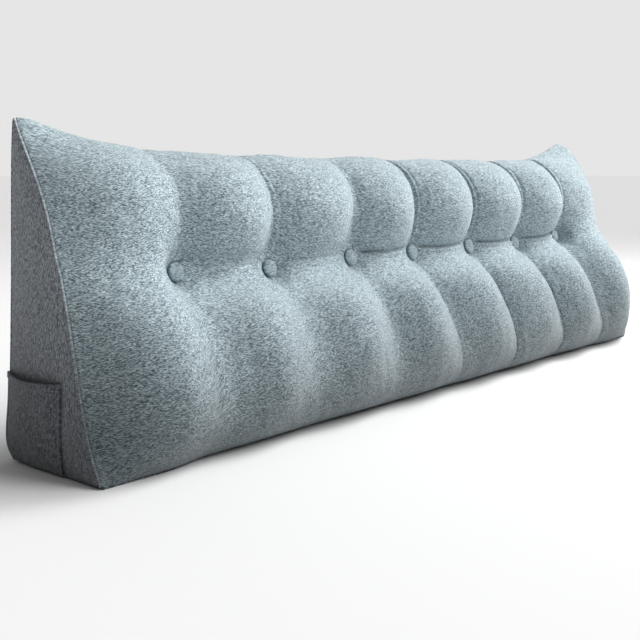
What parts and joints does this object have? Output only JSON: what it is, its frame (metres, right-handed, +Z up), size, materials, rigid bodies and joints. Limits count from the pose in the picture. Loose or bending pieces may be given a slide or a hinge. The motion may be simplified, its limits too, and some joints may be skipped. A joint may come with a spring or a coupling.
{
  "type": "backrest pillow",
  "caption": "Long wedge backrest pillow that stands on its base, with a buttoned tufted front, drawn-in waist, raised top corners and an end pocket.",
  "frame": {"origin": "middle of the pillow's outer box, on the ground it stands on", "axes": "+X along the pillow's length, +Y from its tufted front to its plain back, +Z up"},
  "size_m": [1.543, 0.2614, 0.457],
  "materials": {
    "cover_cloth": "slubbed woven cloth, light blue-grey",
    "end_cloth": "slubbed woven cloth, blue-grey",
    "back_cloth": "slubbed woven cloth, blue-grey",
    "base_cloth": "slubbed woven cloth, blue-grey",
    "pocket_cloth": "slubbed woven cloth, blue-grey, hemmed",
    "button_cloth": "cloth-covered button"
  },
  "bodies": {
    "root": {"cushion": "cover_cloth", "end_panel_left": "end_cloth", "end_panel_right": "end_cloth", "back_panel": "back_cloth", "base_panel": "base_cloth", "pocket": "pocket_cloth", "button_1": "button_cloth", "button_2": "button_cloth", "button_3": "button_cloth", "button_4": "button_cloth", "button_5": "button_cloth", "button_6": "button_cloth", "button_7": "button_cloth"}
  },
  "joints": []
}
